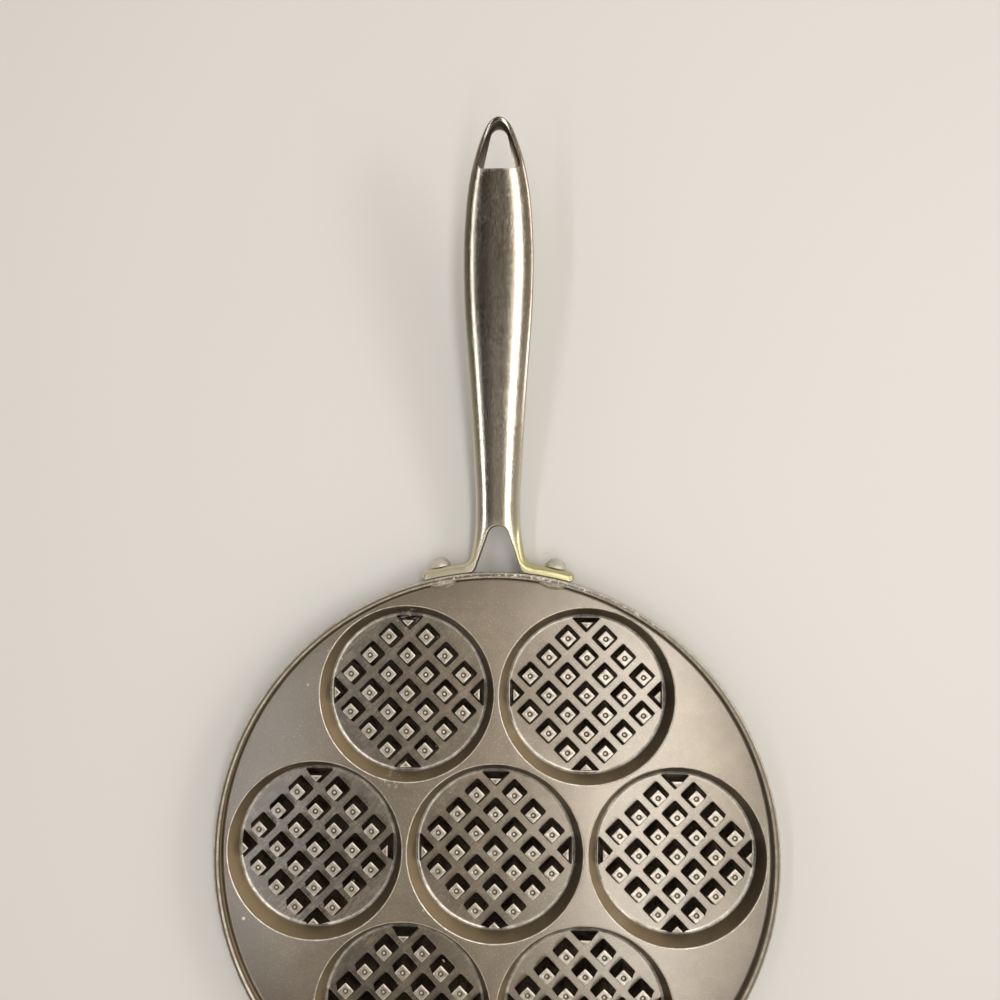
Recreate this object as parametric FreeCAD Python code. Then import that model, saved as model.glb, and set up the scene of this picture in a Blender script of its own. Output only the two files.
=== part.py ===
import FreeCAD, Part
import math
import os

# One-sided stovetop waffle iron. Lengths in mm, angles in degrees, +Z up.
# The origin is the centre of the base, the pan lies flat, and the handle runs along +Y.

# Waffle wells
WELL_FLOOR_RADIUS = 38.1
WELL_FLARE = 3.7
WELL_DEPTH = 9.3
WELL_WEB = 2.4
OUTER_WELLS = 6
WELL_MOUTH_RADIUS = WELL_FLOOR_RADIUS + WELL_FLARE
WELL_PITCH_RADIUS = 2 * WELL_MOUTH_RADIUS + WELL_WEB

# Pan casting, heights from the stove
SKIN = 3.4
RIM_HEIGHT = 5.5
RIM_THICKNESS = 2.8
PLATE_MARGIN = 2.4
RIM_EDGE = 0.7
CUP_MARGIN = 0.2
PLATE_Z = SKIN + WELL_DEPTH
RIM_Z = PLATE_Z + RIM_HEIGHT
RIM_INNER_RADIUS = WELL_PITCH_RADIUS + WELL_MOUTH_RADIUS + PLATE_MARGIN
RIM_OUTER_RADIUS = RIM_INNER_RADIUS + RIM_THICKNESS
TOOL_MARGIN = 1.0
TOUCH = 0.02
SOLVING_ROUNDS = 20

# Waffle studs, square frustums turned by 45 degrees
STUD_BASE_SIDE = 9.0
STUD_TOP_SIDE = 5.7
STUD_BELOW_PLATE = 1.0
STUD_HALF_DIAGONAL_STEP = 9.0
STUD_ROWS = 4
STUD_ROOT = 0.4
STUD_FIELD_GAP = 1.5
STUD_SLOPE = (STUD_BASE_SIDE - STUD_TOP_SIDE) / (WELL_DEPTH - STUD_BELOW_PLATE)

# Rivets and the bosses cast behind them
FOOT_HALF_SPAN = 36.6
RIVET_FROM_FOOT_END = 9.86
RIVET_OFFSET = FOOT_HALF_SPAN - RIVET_FROM_FOOT_END
RIVET_Z = 10.0
RIVET_SHANK_RADIUS = 2.4
RIVET_HOLE_CLEARANCE = 0.1
RIVET_DOME_RADIUS = 5.2
RIVET_DOME_HEIGHT = 5.0
RIVET_DOME_BANDS = 3
RIVET_DOME_SIDES = 20
RIVET_DOME_CAP = 0.9
RIVET_BLIND_DEPTH = 4.4
RIVET_END_GAP = 0.1
RIVET_ANGLE = math.degrees(math.asin(RIVET_OFFSET / RIM_OUTER_RADIUS))
BOSS_BASE_RADIUS = 7.25
BOSS_TOP_RADIUS = 6.0
BOSS_PROUD = 2.8

# Handle, one pressed sheet channel that forks into two legs and feet. A RUN is a distance outwards
# from the rim, so the handle follows the pan's size.
SHEET = 1.5
FOOT_CLEARANCE = 0.05
FOOT_DEPTH = 4.75
FOOT_BELOW_RIM = 1.7
FOOT_BOTTOM_Z = 3.0
FOOT_END_ROUND = 2.2
HEEL_ROUND = 2.4
LEG_OUTER_X = 12.7
LEG_OUTER_RUN = 8.0
LEG_INNER_X = 11.6
ARCH_RUN = 17.0
ARCH_RADIUS = 5.2
TIP_RUN = 204.4
TIP_LIFT = 40.5
RISE_START_RUN = 6.0
RISE_RADIUS = 70.0
TIP_DEPTH = 8.5
NECK_RUN = 32.0
NECK_DEPTH = 12.0
TOP_EDGE = 1.3
CHECK_SHARES = (0, 0.25, 0.5, 0.75, 1)
LIP_WIDTH = 1.2
LIP_THICKNESS = 1.5
LIP_START_RUN = 39.0
LOOP_HOLE_INSET = 2.0
LOOP_HOLE_RUN = 182.0
LOOP_TOP = 2.5
OUTLINE_TOLERANCE = 0.2
# Half width of the handle, (run, half width), from the loop down to the legs
FLANK_RUNS = [(202.6, 3.9), (198.4, 6.7), (163.8, 15.1), (112.6, 15.15), (32.3, 10.6), (22.6, 10.75)]
FLANK = [(RIM_OUTER_RADIUS + away, half) for away, half in FLANK_RUNS]
FOOT_TOP_Z = RIM_Z - FOOT_BELOW_RIM
TIP_Z = FOOT_TOP_Z + TIP_LIFT
TALLEST = TIP_Z + 3 * TOOL_MARGIN
LEG_OUTER_Y = RIM_OUTER_RADIUS + LEG_OUTER_RUN
ARCH_CENTRE_Y = RIM_OUTER_RADIUS + ARCH_RUN
RISE_START_Y = RIM_OUTER_RADIUS + RISE_START_RUN
NECK_Y = RIM_OUTER_RADIUS + NECK_RUN
LIP_START_Y = RIM_OUTER_RADIUS + LIP_START_RUN
LOOP_HOLE_BOTTOM_Y = RIM_OUTER_RADIUS + LOOP_HOLE_RUN
TIP_Y = RIM_OUTER_RADIUS + TIP_RUN


def vec(x, y, z):
    return FreeCAD.Vector(x, y, z)


def line(a, b):
    return Part.LineSegment(a, b).toShape()


def arc(a, middle, b):
    return Part.Arc(a, middle, b).toShape()


def revolve(points):
    """Revolve the closed polygon through (r, z) points about the Z axis."""
    places = [vec(r, 0, z) for r, z in points]
    return Part.Face(Part.makePolygon(places + places[:1])).revolve(vec(0, 0, 0), vec(0, 0, 1), 360)


def well_centres():
    centres = [(0.0, 0.0)]
    for k in range(OUTER_WELLS):
        turn = 2 * math.pi * k / OUTER_WELLS
        centres.append((WELL_PITCH_RADIUS * math.cos(turn), WELL_PITCH_RADIUS * math.sin(turn)))
    return centres


def shell():
    """Plate, rim and skirt as one revolved casting wall, with the rim's edges broken."""
    inner, outer = RIM_INNER_RADIUS, RIM_OUTER_RADIUS
    under = PLATE_Z - SKIN
    rim = [(inner, RIM_Z - RIM_EDGE), (inner + RIM_EDGE, RIM_Z),
           (outer - RIM_EDGE, RIM_Z), (outer, RIM_Z - RIM_EDGE)]
    skirt = [(outer, 0), (inner, 0), (inner, under), (0, under)]
    return revolve([(0, PLATE_Z), (inner, PLATE_Z)] + rim + skirt)


def cup():
    """The casting around one well, standing on its round pad at the base."""
    radius = WELL_MOUTH_RADIUS + CUP_MARGIN
    under = PLATE_Z - SKIN
    return revolve([(0, 0), (radius, 0), (radius, under), (0, under)])


def stack(rings):
    """Solid with flat sides through polygons one above another, all with the same number of corners."""
    faces = [Part.Face(Part.makePolygon(ring + ring[:1])) for ring in (rings[0], rings[-1])]
    for low, high in zip(rings, rings[1:]):
        for k in range(len(low)):
            faces.append(Part.Face(Part.makePolygon([low[k], low[k - 1], high[k - 1], high[k], low[k]])))
    return Part.makeSolid(Part.makeShell(faces))


def stud(x, y):
    """One square stud, rooted a little under the well floor. The stud field ends round, so an
    outermost stud keeps only its corner towards the well's centre, with a sloped flat across it."""
    rings = []
    for z in (SKIN - STUD_ROOT, PLATE_Z - STUD_BELOW_PLATE):
        reach = (STUD_BASE_SIDE - STUD_SLOPE * (z - SKIN)) / math.sqrt(2)
        field = WELL_FLOOR_RADIUS - STUD_FIELD_GAP - STUD_SLOPE / 2 * (z - SKIN)
        away = math.hypot(x, y)
        if away + reach > field:
            out = vec(x, y, 0) / away
            aside = vec(-out.y, out.x, 0) * (field - away + reach)
            cut = out * field + vec(0, 0, z)
            rings.append([out * (away - reach) + vec(0, 0, z), cut - aside, cut + aside])
        else:
            corners = [(reach, 0), (0, reach), (-reach, 0), (0, -reach)]
            rings.append([vec(x + across, y + up, z) for across, up in corners])
    return stack(rings)


def studs():
    """The lattice of studs of one well: rows of 1 to 5 and back to 1 along the diagonals."""
    shapes = []
    for i in range(-STUD_ROWS, STUD_ROWS + 1):
        for j in range(-STUD_ROWS, STUD_ROWS + 1):
            if (i + j) % 2 == 0 and abs(i) + abs(j) <= STUD_ROWS:
                shapes.append(stud(i * STUD_HALF_DIAGONAL_STEP, j * STUD_HALF_DIAGONAL_STEP))
    return Part.makeCompound(shapes)


def well_cavity():
    """The hollow of one well, a cone frustum less its studs."""
    above = PLATE_Z + TOOL_MARGIN
    return revolve([(0, SKIN), (WELL_FLOOR_RADIUS, SKIN), (WELL_MOUTH_RADIUS, PLATE_Z),
                    (WELL_MOUTH_RADIUS, above), (0, above)]).cut(studs())


def radial(radius, side, z):
    """A point on the rivet's axis at the given radius from the pan's centre."""
    turn = math.radians(RIVET_ANGLE) * side
    return vec(radius * math.sin(turn), radius * math.cos(turn), z)


def outward(side):
    direction = radial(1, side, 0)
    direction.normalize()
    return direction


def boss(side):
    """Round pad cast on the rim's inner wall behind a rivet."""
    rooted = RIM_INNER_RADIUS + RIM_THICKNESS / 2
    return Part.makeCone(BOSS_BASE_RADIUS, BOSS_TOP_RADIUS, RIM_THICKNESS / 2 + BOSS_PROUD,
                         radial(rooted, side, RIVET_Z), outward(side) * -1)


def rivet_hole(side):
    """Blind hole from the rim's outer face into the boss."""
    start = RIM_OUTER_RADIUS - RIVET_BLIND_DEPTH
    return Part.makeCylinder(RIVET_SHANK_RADIUS + RIVET_HOLE_CLEARANCE, RIVET_BLIND_DEPTH + TOOL_MARGIN,
                             radial(start, side, RIVET_Z), outward(side))


def pan():
    shape = shell()
    cavity = well_cavity()
    cups = [cup().translated(vec(x, y, 0)) for x, y in well_centres()]
    shape = shape.fuse(cups + [boss(-1), boss(1)])
    shape = shape.cut([cavity.translated(vec(x, y, 0)) for x, y in well_centres()])
    return shape.cut([rivet_hole(-1), rivet_hole(1)])


def blend(start, corner, end):
    """Round arc that leaves start and meets end along the two sides of a corner."""
    turn = (corner - start).getAngle(end - corner)
    middle = (start + end) * 0.5
    return arc(start, middle + (corner - middle) * (math.tan(turn / 4) / math.tan(turn / 2)), end)


def on(radius, turn):
    """Plan point at a radius from the pan's centre, turned clockwise from +Y."""
    return vec(radius * math.sin(turn), radius * math.cos(turn), 0)


def flank(inset):
    """Smooth edge of the handle from the left leg over the tip to the right leg, moved inwards by inset."""
    right = [vec(half, y, 0) for y, half in FLANK + [(LEG_OUTER_Y, LEG_OUTER_X)]]
    points = [vec(-point.x, point.y, 0) for point in reversed(right)] + [vec(0, TIP_Y, 0)] + right
    curve = Part.BSplineCurve()
    curve.interpolate(points)
    moved = []
    for point in points:
        way = curve.tangent(curve.parameter(point))[0]
        way.normalize()
        moved.append(point + vec(way.y, -way.x, 0) * inset)
    curve.interpolate(moved)
    return curve


def panel(lowest, inset):
    """The handle's outline moved inwards by inset, only beyond lowest, as a tall block."""
    curve = flank(inset)
    edges = [piece.toShape() for piece in curve.toBiArcs(OUTLINE_TOLERANCE)]
    edges.append(line(curve.EndPoint, curve.StartPoint))
    beyond = Part.makeBox(2 * FOOT_HALF_SPAN, TIP_Y, TALLEST, vec(-FOOT_HALF_SPAN, lowest, -TOOL_MARGIN))
    return tall(Part.Wire(Part.__sortEdges__(edges))).common(beyond)


def outline(inset):
    """Plan outline of the handle with its fork and feet, moved inwards by inset, as a closed wire."""
    inner = RIM_OUTER_RADIUS + FOOT_CLEARANCE + inset
    outer = RIM_OUTER_RADIUS + FOOT_CLEARANCE + FOOT_DEPTH - inset
    end_round = FOOT_END_ROUND - inset
    arch_round = ARCH_RADIUS + inset
    curve = flank(inset)
    leg_end = curve.EndPoint
    leg_way = curve.tangent(curve.LastParameter)[0]
    leg_way.normalize()

    along = -leg_end.dot(leg_way)
    reach = along - math.sqrt(along ** 2 - leg_end.dot(leg_end) + outer ** 2)
    corner = leg_end + leg_way * reach
    corner_turn = math.atan2(corner.x, corner.y) + reach / outer
    edges = [blend(leg_end, corner, on(outer, corner_turn))]

    end_turn = corner_turn
    for _ in range(SOLVING_ROUNDS):
        end_x = FOOT_HALF_SPAN - inset - end_round * math.cos(end_turn)
        end_turn = math.asin(end_x / (outer - end_round))
    edges.append(arc(on(outer, corner_turn), on(outer, (corner_turn + end_turn) / 2), on(outer, end_turn)))
    out_way = on(1, end_turn)
    side_way = vec(out_way.y, -out_way.x, 0)
    end_side = on(outer - end_round, end_turn) + side_way * end_round
    edges.append(blend(on(outer, end_turn), on(outer, end_turn) + side_way * end_round, end_side))
    end_inner = out_way * math.sqrt(inner ** 2 - end_round ** 2) + side_way * end_round
    edges.append(line(end_side, end_inner))

    arch_centre = vec(0, ARCH_CENTRE_Y, 0)
    to_heel = on(RIM_OUTER_RADIUS, math.asin(LEG_INNER_X / RIM_OUTER_RADIUS)) - arch_centre
    lean = math.atan2(to_heel.y, to_heel.x) + math.acos(ARCH_RADIUS / to_heel.Length)
    arch_way = vec(math.cos(lean), math.sin(lean), 0)
    arch_end = arch_centre + arch_way * arch_round
    leg_in_way = vec(arch_way.y, -arch_way.x, 0)
    along = -arch_end.dot(leg_in_way)
    heel = arch_end + leg_in_way * (along - math.sqrt(along ** 2 - arch_end.dot(arch_end) + inner ** 2))
    heel_turn = math.atan2(heel.x, heel.y)
    heel_start = on(inner, heel_turn + HEEL_ROUND / inner)
    heel_end = heel - leg_in_way * HEEL_ROUND
    far_turn = math.atan2(end_inner.x, end_inner.y)
    edges.append(arc(end_inner, on(inner, (far_turn + heel_turn) / 2), heel_start))
    edges.append(blend(heel_start, heel, heel_end))
    edges.append(line(heel_end, arch_end))
    edges += [edge.mirror(vec(0, 0, 0), vec(1, 0, 0)) for edge in edges]
    left_end = vec(-arch_end.x, arch_end.y, 0)
    edges.append(arc(arch_end, arch_centre + vec(0, arch_round, 0), left_end))
    edges += [piece.toShape() for piece in curve.toBiArcs(OUTLINE_TOLERANCE)]
    return Part.Wire(Part.__sortEdges__(edges))


def tall(wire):
    """Extrude a plan wire over the whole height of the product."""
    return Part.Face(wire.translated(vec(0, 0, -TOOL_MARGIN))).extrude(vec(0, 0, TALLEST))


def rise():
    """Start and end of the bend where the level foot turns into the rising handle, and its angle."""
    angle = math.atan2(TIP_Z - FOOT_TOP_Z, TIP_Y - RISE_START_Y)
    for _ in range(SOLVING_ROUNDS):
        run = RISE_RADIUS * math.sin(angle)
        lift = RISE_RADIUS * (1 - math.cos(angle))
        angle = math.atan2(TIP_Z - FOOT_TOP_Z - lift, TIP_Y - RISE_START_Y - run)
    return run, lift, angle


def side_band(down, up_from_bottom):
    """Slab between the handle's top line, lowered, and its bottom line, raised, over the full width."""
    run, lift, angle = rise()
    back = RIM_OUTER_RADIUS - FOOT_HALF_SPAN
    reach = TIP_Y + TOOL_MARGIN
    tip_rise = TOOL_MARGIN * math.tan(angle)
    neck_top = FOOT_TOP_Z + lift + (NECK_Y - RISE_START_Y - run) * math.tan(angle)
    half = FOOT_HALF_SPAN + TOOL_MARGIN

    def at(y, z):
        return vec(-half, y, z)

    middle_turn = angle / 2
    middle = at(RISE_START_Y + RISE_RADIUS * math.sin(middle_turn),
                FOOT_TOP_Z - down + RISE_RADIUS * (1 - math.cos(middle_turn)))
    start = at(RISE_START_Y, FOOT_TOP_Z - down)
    end = at(RISE_START_Y + run, FOOT_TOP_Z - down + lift)
    tip_top = at(reach, TIP_Z - down + tip_rise)
    tip_bottom = at(reach, TIP_Z - TIP_DEPTH + up_from_bottom + tip_rise)
    neck = at(NECK_Y, neck_top - NECK_DEPTH + up_from_bottom)
    heel = at(RISE_START_Y, FOOT_BOTTOM_Z + up_from_bottom)
    far = at(back, FOOT_BOTTOM_Z + up_from_bottom)
    far_top = at(back, FOOT_TOP_Z - down)
    edges = [line(far_top, start), arc(start, middle, end), line(end, tip_top), line(tip_top, tip_bottom),
             line(tip_bottom, neck), line(neck, heel), line(heel, far), line(far, far_top)]
    return Part.Face(Part.Wire(edges)).extrude(vec(2 * half, 0, 0))


def top_edges(shape):
    """Edges along the rim of the handle's top surface, without the ones that cross it."""
    run, lift, angle = rise()

    def top(y):
        if y < RISE_START_Y:
            return FOOT_TOP_Z
        if y < RISE_START_Y + run:
            return FOOT_TOP_Z + RISE_RADIUS - math.sqrt(RISE_RADIUS ** 2 - (y - RISE_START_Y) ** 2)
        return FOOT_TOP_Z + lift + (y - RISE_START_Y - run) * math.tan(angle)

    found = []
    for edge in shape.Edges:
        first, last = edge.ParameterRange
        points = [edge.valueAt(first + (last - first) * share) for share in CHECK_SHARES]
        on_top = all(abs(point.z - top(point.y)) < TOUCH for point in points)
        level = all(abs(point.y - points[0].y) < TOUCH for point in points)
        crossing = level and abs(points[0].x - points[-1].x) > SHEET and points[0].y < TIP_Y - SHEET
        if on_top and not crossing:
            found.append(edge)
    return found


def handle():
    """Pressed channel: rounded top, open underside with turned-in lips, loop hole and rivet holes."""
    solid = tall(outline(0)).common(side_band(0, 0))
    solid = solid.makeChamfer(TOP_EDGE, top_edges(solid))
    hollow = tall(outline(SHEET)).common(side_band(SHEET, LIP_THICKNESS))
    legs = tall(outline(SHEET)).common(side_band(SHEET, -TOOL_MARGIN))
    legs = legs.common(Part.makeBox(2 * FOOT_HALF_SPAN, LIP_START_Y, TIP_Z, vec(-FOOT_HALF_SPAN, 0, 0)))
    mouth = panel(LIP_START_Y, SHEET + LIP_WIDTH).common(side_band(SHEET, -TOOL_MARGIN))
    loop = panel(LOOP_HOLE_BOTTOM_Y, LOOP_HOLE_INSET)
    loop = loop.common(side_band(-TOOL_MARGIN, TIP_DEPTH - LOOP_TOP))
    holes = []
    for side in (-1, 1):
        start = radial(RIM_OUTER_RADIUS - FOOT_DEPTH / 2, side, RIVET_Z)
        hole_radius = RIVET_SHANK_RADIUS + RIVET_HOLE_CLEARANCE
        holes.append(Part.makeCylinder(hole_radius, 2 * FOOT_DEPTH, start, outward(side)))
    return solid.cut([hollow, legs, mouth, loop] + holes)


def rivet(side):
    """Domed rivet: the head sits on the foot, the shank ends in the pan's boss. The dome's bands are
    made of flats, which keeps such a small round piece light."""
    rings = []
    for k in range(RIVET_DOME_BANDS + 1):
        up = math.pi / 2 * RIVET_DOME_CAP * k / RIVET_DOME_BANDS
        across = RIVET_DOME_RADIUS * math.cos(up)
        height = RIVET_DOME_HEIGHT * math.sin(up) / math.sin(math.pi / 2 * RIVET_DOME_CAP)
        turns = [2 * math.pi * n / RIVET_DOME_SIDES for n in range(RIVET_DOME_SIDES)]
        rings.append([vec(across * math.cos(turn), across * math.sin(turn), height) for turn in turns])
    seat = RIM_OUTER_RADIUS + FOOT_CLEARANCE + FOOT_DEPTH
    end = RIM_OUTER_RADIUS - RIVET_BLIND_DEPTH + RIVET_END_GAP - seat
    shape = stack(rings).fuse(Part.makeCylinder(RIVET_SHANK_RADIUS, -end, vec(0, 0, end)))
    shape.Placement = FreeCAD.Placement(radial(seat, side, RIVET_Z),
                                        FreeCAD.Rotation(vec(0, 0, 1), outward(side)))
    return shape


def export(name, shape):
    if len(shape.Solids) == 1:
        shape = shape.Solids[0]
    shape.exportStep("parts/" + name + ".step")


os.makedirs("parts", exist_ok=True)
export("pan", pan())
export("handle", handle())
export("rivet_left", rivet(-1))
export("rivet_right", rivet(1))
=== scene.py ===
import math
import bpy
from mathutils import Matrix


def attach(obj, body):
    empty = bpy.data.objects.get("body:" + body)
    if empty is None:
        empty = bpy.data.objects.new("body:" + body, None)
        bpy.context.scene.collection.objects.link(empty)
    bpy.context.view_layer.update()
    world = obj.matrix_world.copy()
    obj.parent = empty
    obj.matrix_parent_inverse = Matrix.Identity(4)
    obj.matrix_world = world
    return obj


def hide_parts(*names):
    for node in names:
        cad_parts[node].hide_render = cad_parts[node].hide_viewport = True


bl_info = {
    "name": "Stovetop Waffle Pan",
    "version": (1, 0, 0),
    "blender": (4, 5, 0),
    "location": "3D View > Sidebar > Waffle Pan",
    "description": "Builds the casting, handle, rivets, finishes and stage of a seven-well waffle pan",
    "category": "Add Mesh",
}

import bmesh
import bpy
import numpy as np

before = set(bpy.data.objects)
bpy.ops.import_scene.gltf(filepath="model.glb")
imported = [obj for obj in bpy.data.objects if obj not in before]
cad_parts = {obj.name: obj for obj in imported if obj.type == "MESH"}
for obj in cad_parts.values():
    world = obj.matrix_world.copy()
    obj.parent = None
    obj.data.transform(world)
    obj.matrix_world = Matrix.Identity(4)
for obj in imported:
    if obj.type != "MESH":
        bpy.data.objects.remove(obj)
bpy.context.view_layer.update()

MM = 0.001
# Vertices nearer than this (m) are one
MERGE = 2e-6
# Edges bent more than this stay sharp
SHARP, RIVET_SHARP = math.radians(50), math.radians(40)
OUTER_WELLS = 6
# Steps from a well's middle to its cut studs
STUD_ROWS = 4

# Steps along the plate's edge, its radial lines and a side of the middle hexagon, per cell
ARC_STEPS = 48
LINE_STEPS = 26
HEX_STEPS = 24
ROUND_STEPS = 5
CORNER_POINTS = 4
BOSS_STEPS = 8
BOSS_SIDES = 72
DOME_STEPS = 14
RIVET_SIDES = 64

# Steps along the handle's flank, legs and feet, its small arcs, and over its edge and faces
FLANK_STEPS = 210
LEG_STEPS = 60
FOOT_STEPS = 76
FOOT_ARC_POINTS = 40
BEND_STEPS = 14
ARCH_POINTS = 24
HOLE_CORNER_STEPS = 6
EDGE_STEPS = 6
FACE_COLUMNS = 22
LOOP_COLUMNS = 6

# Rounds of the casting
RIM_ROUND = 1.2 * MM
PLATE_ROUND = 1.5 * MM
SKIRT_ROUND = 2.0 * MM
UNDER_ROUND = 2.5 * MM
MOUTH_ROUND = 0.8 * MM
FLOOR_ROUND = 1.8 * MM
CUP_ROUND = 1.5 * MM
# Rounds of a stud's top edge, its root, its upright corners at the top and at the floor
STUD_EDGE = 0.5 * MM
STUD_ROOT = 0.3 * MM
STUD_CORNER = 0.4 * MM
STUD_CORNER_LOW = 0.9 * MM
# Rounds and gap of a foot, its heel, and the handle's top edge
FOOT_GAP = 0.05 * MM
FOOT_ROUND = 2.2 * MM
HEEL_ROUND = 2.4 * MM
EDGE_ROUND = 0.6 * MM
# Rounded outer side of legs and feet, and the run over which it becomes the grip's
FOOT_SHOULDER = 3.5 * MM
FOOT_FALL = 2.8 * MM
GRIP_FADE = 18.0 * MM
# Turned-in lip, and the opening between the lips at the hanging hole
LIP_START = 172.0 * MM
EYE_TIP = 334.0 * MM
EYE_ROUND = 4.0 * MM
EYE_HALF = 7.9 * MM
EYE_FADE = 10.0 * MM
# Sheet round the hanging hole, and its lower corners
HOLE_INSET = 1.9 * MM
HOLE_ROUND = 2.6 * MM
# Straight edge under a rivet's dome, and its shank
RIVET_EDGE = 0.6 * MM
RIVET_SHANK = 2.4 * MM
RIVET_DEPTH = 4.3 * MM
# Half width of the handle in mm, (distance from the pan's centre, half width)
FLANK = [(335.6, 3.9), (331.4, 6.7), (326.1, 8.95), (315.8, 12.2), (296.8, 15.1), (275.0, 16.1),
         (245.6, 15.15), (221.8, 13.5), (184.5, 11.3), (165.3, 10.6), (155.6, 10.75), (148.0, 11.5)]
# Share of the half width that the grip's rounded top takes up on each side
GRIP_SHARE = 0.85
# Share of that top's fall which is gone at the tip
LOOP_LEVEL = 0.6

# Scales of the noise patterns, per metre
BROAD, SMUDGE, MOTTLE, SPECK = 14.0, 60.0, 120.0, 160.0
PATCHY, FLAKE, PIT, GRAIN = 260.0, 800.0, 900.0, 1100.0
CRUMB_CELLS = 210.0
# Stretched noise, per metre along each axis
STREAKS = (130.0, 950.0, 500.0)
BRUSH_LINES = (2600.0, 26.0, 2600.0)
BRUSH_BANDS = (420.0, 7.0, 420.0)
# Soft spots: (centre, radius and soft edge in m, strength)
RIM_FLAKES = (((0.012, 0.131, 0.0165), 0.026, 0.030, 1.0), ((0.062, 0.115, 0.0165), 0.012, 0.030, 0.7))
SCRAPS = (((-0.0430, 0.1115, 0.0040), 0.003, 0.006, 1.0), ((-0.0480, 0.0375, 0.0120), 0.003, 0.006, 1.0))
HEAT = (((0.024, 0.139, 0.014), 0.014, 0.012, 1.0), ((-0.026, 0.137, 0.014), 0.010, 0.014, 0.45))

# Name, place in m, lean in degrees, size in m, power in W, colour
LAMPS = (("sheen_box", (0.17, 0.12, 0.90), 9.0, (0.10, 1.2), 3.1, (0.99, 0.97, 0.94)),
         ("key_box", (0.72, 0.25, 0.62), 48.0, (0.25, 0.5), 1.5, (1.0, 0.98, 0.95)),
         ("fill_box", (-0.36, 0.20, 0.86), -20.0, (0.05, 1.2), 1.3, (0.97, 0.98, 1.0)))
ROOM = (1.0, 0.90, 0.77)
BACKDROP = (0.74, 0.73, 0.67)
FLOOR_REACH = 3.0
FLOOR_LEVEL = -0.0004
# Camera fitted to the stud tops, the wells' circles and the rim
CAMERA_PLACE = (0.01718, 0.14181, 0.49339)
CAMERA_TURN = (3.0901, 1.9248, 0.5821)
SENSOR = 36.0
LENS = 36.0


def length(name, text, value):
    """A size property, its default given in mm."""
    return bpy.props.FloatProperty(
        name=name, description=text, default=value * MM, min=0.0, precision=5,
        subtype="DISTANCE", unit="LENGTH")


def colour(name, text, value):
    return bpy.props.FloatVectorProperty(
        name=name, description=text, default=value, size=3, min=0.0, max=1.0, subtype="COLOR")


def amount(name, text, value):
    return bpy.props.FloatProperty(
        name=name, description=text, default=value, min=0.0, max=1.0, subtype="FACTOR")


class PanSizes(bpy.types.PropertyGroup):
    """Sizes of the casting."""
    rim_radius: length("Rim radius", "Outer radius of the rim", 133.0)
    rim_wall: length("Rim wall", "Thickness of the rim", 2.8)
    rim_height: length("Rim height", "Top of the rim over the stove", 18.2)
    plate_height: length("Plate height", "Top of the plate over the stove", 12.7)
    skin: length("Skin", "Thickness of plate and well floors", 3.4)
    well_pitch: length("Well pitch", "Distance between neighbouring wells", 86.0)
    well_mouth: length("Well mouth", "Radius of a well at the plate", 41.8)
    well_floor: length("Well floor", "Radius of a well at its floor", 38.1)
    cup_wall: length("Cup wall", "Thickness of the well's wall", 3.0)
    stud_base: length("Stud base", "Side of a stud at the floor", 9.0)
    stud_top: length("Stud top", "Side of a stud at its top", 5.7)
    stud_drop: length("Stud drop", "How far the studs stay below the plate", 1.0)
    stud_step: length("Stud step", "Half the diagonal step between studs", 9.0)
    stud_gap: length("Stud gap", "Clear floor between the field of studs and the well's wall", 1.5)
    dimple: length("Dimple", "Radius of the mark in a stud's top", 1.3)
    dimple_depth: length("Dimple depth", "Depth of the mark in a stud's top", 0.7)
    boss_base: length("Boss base", "Radius of a rivet boss at the rim", 7.25)
    boss_proud: length("Boss proud", "How far a boss stands inside the rim", 2.8)


class HandleSizes(bpy.types.PropertyGroup):
    """Sizes of the pressed handle and its rivets."""
    tip: length("Tip", "Distance of the tip from the pan's centre", 337.4)
    tip_height: length("Tip height", "Top of the handle at its tip", 57.0)
    foot_top: length("Foot top", "Top of the feet", 16.5)
    foot_bottom: length("Foot bottom", "Bottom of the feet", 3.0)
    foot_depth: length("Foot depth", "Depth of a foot outside the rim", 4.75)
    foot_span: length("Foot span", "Half the distance over both feet", 36.6)
    leg_x: length("Leg edge", "Outer edge of a leg above the foot", 12.7)
    leg_y: length("Leg end", "Where a leg starts to turn into its foot", 141.0)
    heel_x: length("Heel", "Inner edge of a leg at the rim", 11.6)
    arch_y: length("Arch", "Centre of the arch between the legs", 150.0)
    arch_radius: length("Arch radius", "Radius of the arch between the legs", 5.2)
    rise_start: length("Rise start", "Where the handle starts to rise", 139.0)
    rise_radius: length("Rise radius", "Radius of the bend where it rises", 70.0)
    neck_y: length("Neck", "Where the side wall stops narrowing", 165.0)
    neck_depth: length("Neck depth", "Depth of the side wall at the neck", 12.0)
    tip_depth: length("Tip depth", "Depth of the side wall at the tip", 8.5)
    grip_drop: length("Grip drop", "How far the grip's rounded top falls to its edges", 2.3)
    sheet: length("Sheet", "Thickness of the sheet", 1.5)
    lip: length("Lip", "Width of the turned-in lip", 1.2)
    hole_bottom: length("Hole bottom", "Lower edge of the hanging hole", 315.0)
    rivet_height: length("Rivet height", "Height of the rivets' axes", 10.0)
    rivet_radius: length("Rivet radius", "Radius of a rivet's head", 5.2)
    rivet_proud: length("Rivet proud", "Height of a rivet's head", 5.0)
    rivet_angle: bpy.props.FloatProperty(
        name="Rivet angle", description="Angle of a rivet from the handle's line", default=math.radians(11.6),
        subtype="ANGLE", unit="ROTATION")


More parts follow.
